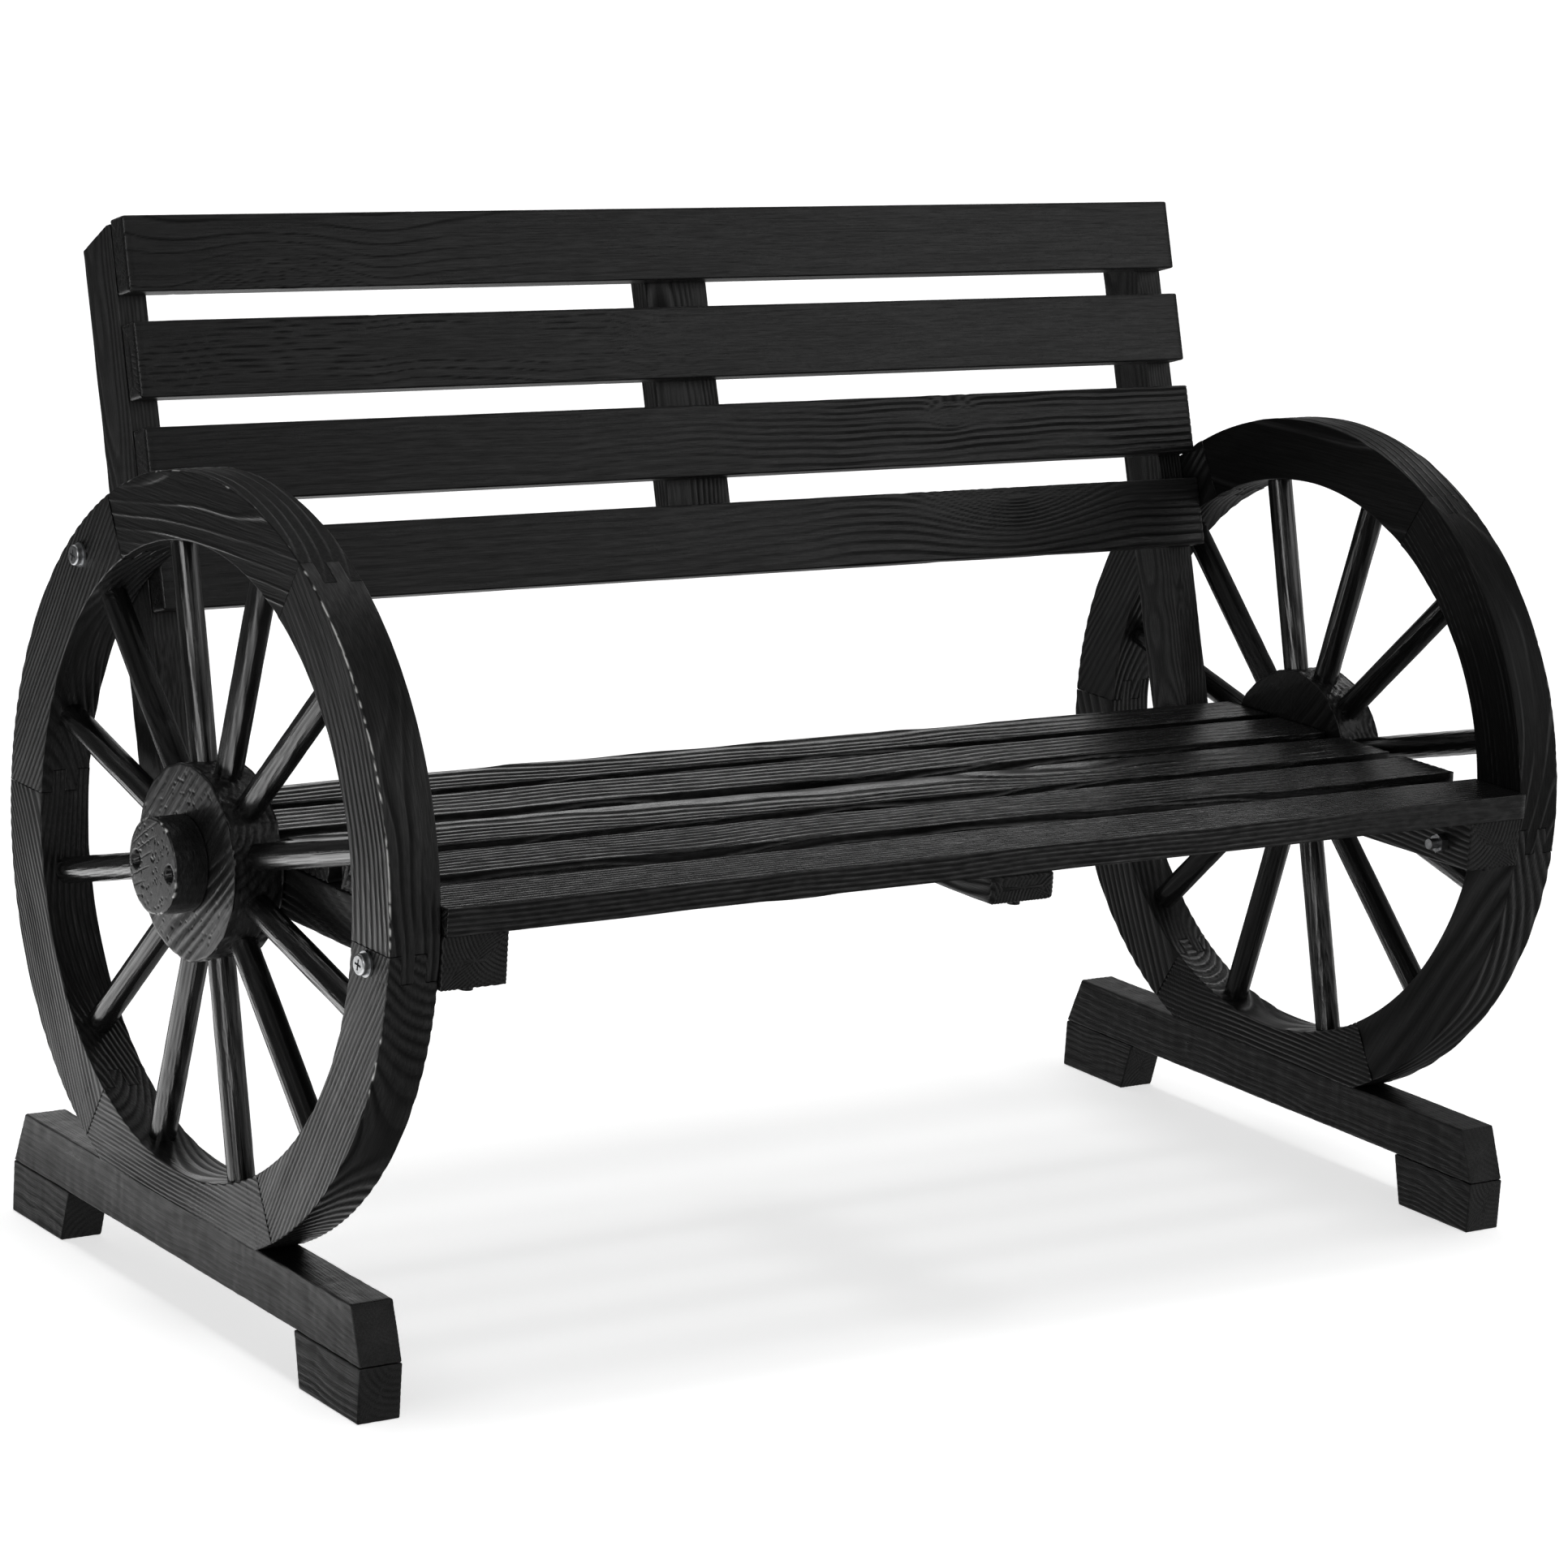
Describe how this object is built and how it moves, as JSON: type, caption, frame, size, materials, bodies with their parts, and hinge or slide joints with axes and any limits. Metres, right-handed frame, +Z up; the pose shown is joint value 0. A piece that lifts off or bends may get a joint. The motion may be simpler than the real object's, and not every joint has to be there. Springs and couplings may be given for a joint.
{
  "type": "wagon wheel bench",
  "caption": "Slatted wooden garden bench with a reclined back, carried between two spoked wagon wheels that stand on beams with foot blocks.",
  "frame": {"origin": "on the floor under the middle of the bench's width and depth", "axes": "+Z up, the sitter faces -Y, +X to the right of someone who looks at the bench from the front"},
  "size_m": [1.11, 0.558, 0.7609],
  "materials": {
    "wheel_wood": "brushed softwood under black satin paint",
    "spoke_wood": "turned dowel under black semi-gloss paint",
    "slat_wood": "wire-brushed softwood under black satin paint",
    "frame_wood": "rough-sawn softwood under black satin paint",
    "zinc_steel": "bright zinc plate",
    "black_steel": "screws blackened, painted over with the wood"
  },
  "bodies": {
    "root": {"left_felloe_1": "wheel_wood", "left_felloe_2": "wheel_wood", "left_felloe_3": "wheel_wood", "left_felloe_4": "wheel_wood", "left_felloe_5": "wheel_wood", "left_felloe_6": "wheel_wood", "right_felloe_1": "wheel_wood", "right_felloe_2": "wheel_wood", "right_felloe_3": "wheel_wood", "right_felloe_4": "wheel_wood", "right_felloe_5": "wheel_wood", "right_felloe_6": "wheel_wood", "left_spokes": "spoke_wood", "right_spokes": "spoke_wood", "left_hub": "wheel_wood", "right_hub": "wheel_wood", "left_hub_cap": "wheel_wood", "right_hub_cap": "wheel_wood", "hub_cap_screws": "black_steel", "left_base_beam": "frame_wood", "right_base_beam": "frame_wood", "left_front_foot": "frame_wood", "left_rear_foot": "frame_wood", "right_front_foot": "frame_wood", "right_rear_foot": "frame_wood", "foot_screws": "black_steel", "beam_screws": "black_steel", "seat_slat_1": "slat_wood", "seat_slat_2": "slat_wood", "seat_slat_3": "slat_wood", "seat_slat_4": "slat_wood", "seat_slat_5": "slat_wood", "left_seat_bearer": "frame_wood", "right_seat_bearer": "frame_wood", "centre_seat_bearer": "frame_wood", "end_seat_screws": "black_steel", "centre_seat_screws": "black_steel", "back_slat_1": "slat_wood", "back_slat_2": "slat_wood", "back_slat_3": "slat_wood", "back_slat_4": "slat_wood", "left_back_post": "frame_wood", "right_back_post": "frame_wood", "back_batten": "frame_wood", "post_screws": "black_steel", "batten_screws": "black_steel", "post_foot_screws": "black_steel", "front_rim_bolts": "zinc_steel", "rear_rim_bolts": "zinc_steel", "rim_washers": "zinc_steel", "rim_nuts": "zinc_steel"}
  },
  "joints": []
}
